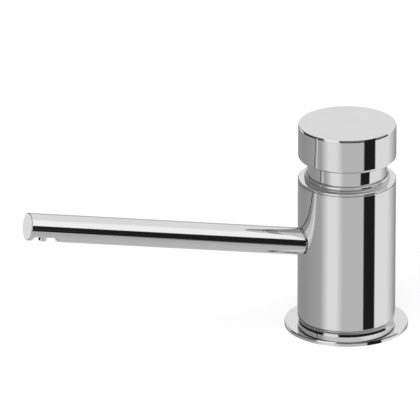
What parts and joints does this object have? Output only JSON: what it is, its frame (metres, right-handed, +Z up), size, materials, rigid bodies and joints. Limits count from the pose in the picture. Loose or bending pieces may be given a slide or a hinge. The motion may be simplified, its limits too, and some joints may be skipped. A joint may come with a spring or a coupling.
{
  "type": "countertop soap dispenser",
  "caption": "Deck-mounted metal soap dispenser: round body on a low flange, spring-returned push head on top, long fixed spout rising to one side, threaded shank and clamp nut below.",
  "frame": {"origin": "centre of the flange's underside, level with the worktop's upper surface", "axes": "+Z up along the body; the spout points along -X and rises towards its tip"},
  "size_m": [0.196, 0.0606, 0.1731],
  "materials": {
    "polished_chrome": "mirror polished",
    "stainless_steel": "as drawn",
    "brass": "as turned",
    "black_rubber": "moulded",
    "white_plastic": "moulded",
    "grey_plastic": "moulded"
  },
  "bodies": {
    "housing": {"collar": "polished_chrome", "body_shell": "polished_chrome", "base_flange": "polished_chrome", "spout_tube": "polished_chrome", "nozzle": "polished_chrome", "return_spring": "stainless_steel", "spring_seat": "stainless_steel", "pump_screw_1": "stainless_steel", "pump_screw_2": "stainless_steel", "pump_screw_3": "stainless_steel", "clamp_washer": "stainless_steel", "spout_socket": "brass", "mounting_shank": "brass", "mounting_nut": "brass", "rod_seal": "black_rubber", "base_seal": "black_rubber", "spout_seal": "black_rubber", "wiper_ring": "black_rubber", "deck_seal": "black_rubber", "deck_washer": "black_rubber", "barrel_cap": "white_plastic", "pump_barrel": "white_plastic", "pump_base": "white_plastic", "inlet_cage": "white_plastic", "outlet_valve_body": "white_plastic", "outlet_fitting": "white_plastic", "spout_liner": "white_plastic", "liner_ferrule": "white_plastic", "guide_ring": "white_plastic", "inlet_tube": "white_plastic", "hose_barb": "grey_plastic"},
    "button": {"button_cap": "polished_chrome", "button_hub": "white_plastic", "hub_screw": "stainless_steel", "piston_rod": "stainless_steel", "piston": "white_plastic", "piston_seal": "black_rubber"},
    "inlet_valve": {"inlet_ball": "stainless_steel"},
    "outlet_valve": {"outlet_ball": "stainless_steel"}
  },
  "joints": [
    {"name": "press", "type": "slide", "parent": "housing", "child": "button", "axis": [0, 0, -1], "range_m": [0, 0.0075], "stiffness_N_per_m": 500, "springref_m": -0.0075, "deforming": ["return_spring"]},
    {"name": "inlet_lift", "type": "slide", "parent": "housing", "child": "inlet_valve", "axis": [0, 0, 1], "range_m": [0, 0.0013]},
    {"name": "outlet_lift", "type": "slide", "parent": "housing", "child": "outlet_valve", "axis": [0, 0, 1], "range_m": [0, 0.0012]}
  ]
}
